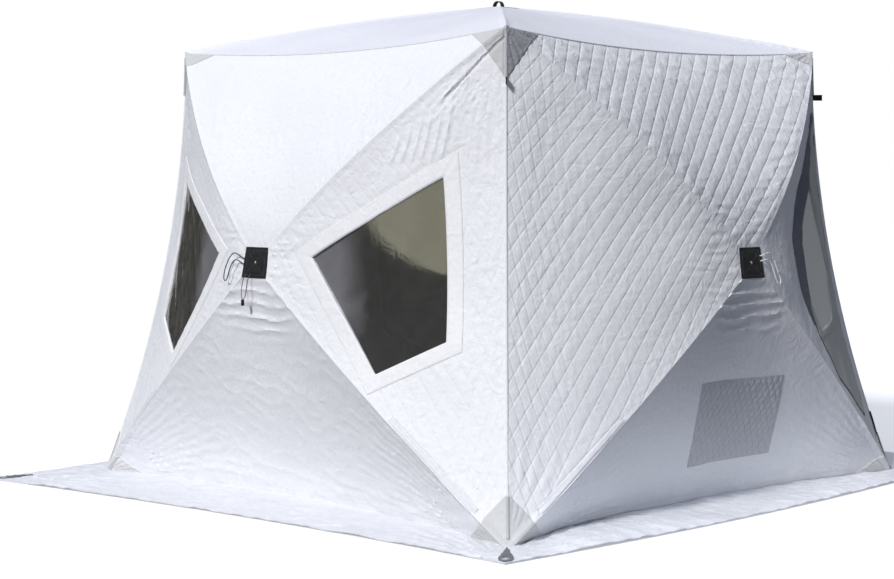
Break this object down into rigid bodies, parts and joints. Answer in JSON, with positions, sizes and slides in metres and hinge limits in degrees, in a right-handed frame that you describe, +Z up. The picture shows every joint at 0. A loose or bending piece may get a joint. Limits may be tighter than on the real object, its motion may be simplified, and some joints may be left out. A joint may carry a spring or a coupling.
{
  "type": "ice fishing hut",
  "caption": "Pop-up insulated ice fishing hut: a cloth cube held out by sprung poles and hubs, with film windows, zipped doors and a ground skirt.",
  "frame": {"origin": "middle of the hut on the ground", "axes": "+Z up, -Y out of the front wall, +X out of the right wall; the long way of the skirt runs along Y"},
  "size_m": [2.9082, 3.44, 2.0562],
  "materials": {
    "wall_cloth": "white coated polyester, quilted over insulation",
    "roof_cloth": "white coated polyester, plain",
    "skirt_cloth": "white coated polyester, plain",
    "patch_cloth": "grey reinforcing cloth",
    "flap_cloth": "dark grey storm flap cloth",
    "quilt_cloth": "grey quilted cloth",
    "black_webbing": "woven black webbing",
    "window_film": "smoked clear film",
    "pole": "glass-fibre rod",
    "hub_plastic": "moulded black plastic",
    "tip_rubber": "black rubber",
    "zip": "coil zip on tape",
    "eyelet": "plated steel eyelet",
    "dark_cord": "braided cord",
    "pale_cord": "braided cord with a pale fleck"
  },
  "bodies": {
    "root": {"back_pull_cord": "dark_cord", "back_wall_bottom": "wall_cloth", "back_wall_left": "wall_cloth", "back_wall_poles": "pole", "back_wall_right": "wall_cloth", "back_wall_top": "wall_cloth", "back_windows": "window_film", "cord_toggle": "hub_plastic", "door_flaps": "flap_cloth", "door_windows": "window_film", "door_zips": "zip", "front_pull_cord": "dark_cord", "front_toggle_cord": "dark_cord", "front_wall_bottom": "wall_cloth", "front_wall_left": "wall_cloth", "front_wall_poles": "pole", "front_wall_right": "wall_cloth", "front_wall_top": "wall_cloth", "front_windows": "window_film", "ground_corner_patches": "patch_cloth", "guy_tabs": "black_webbing", "hub_patches": "black_webbing", "left_door": "wall_cloth", "left_pull_cord": "pale_cord", "left_wall_back": "wall_cloth", "left_wall_bottom": "wall_cloth", "left_wall_front": "wall_cloth", "left_wall_poles": "pole", "left_wall_top": "wall_cloth", "peg_eyelets": "eyelet", "peg_tabs": "patch_cloth", "pole_hubs": "hub_plastic", "pole_tips": "tip_rubber", "quilted_patches": "quilt_cloth", "right_door": "wall_cloth", "right_pull_cord": "pale_cord", "right_wall_back": "wall_cloth", "right_wall_bottom": "wall_cloth", "right_wall_front": "wall_cloth", "right_wall_poles": "pole", "right_wall_top": "wall_cloth", "roof_back": "roof_cloth", "roof_front": "roof_cloth", "roof_left": "roof_cloth", "roof_poles": "pole", "roof_right": "roof_cloth", "roof_strap": "black_webbing", "skirt_back": "skirt_cloth", "skirt_front": "skirt_cloth", "skirt_left": "skirt_cloth", "skirt_right": "skirt_cloth", "top_corner_patches": "patch_cloth"}
  },
  "joints": []
}
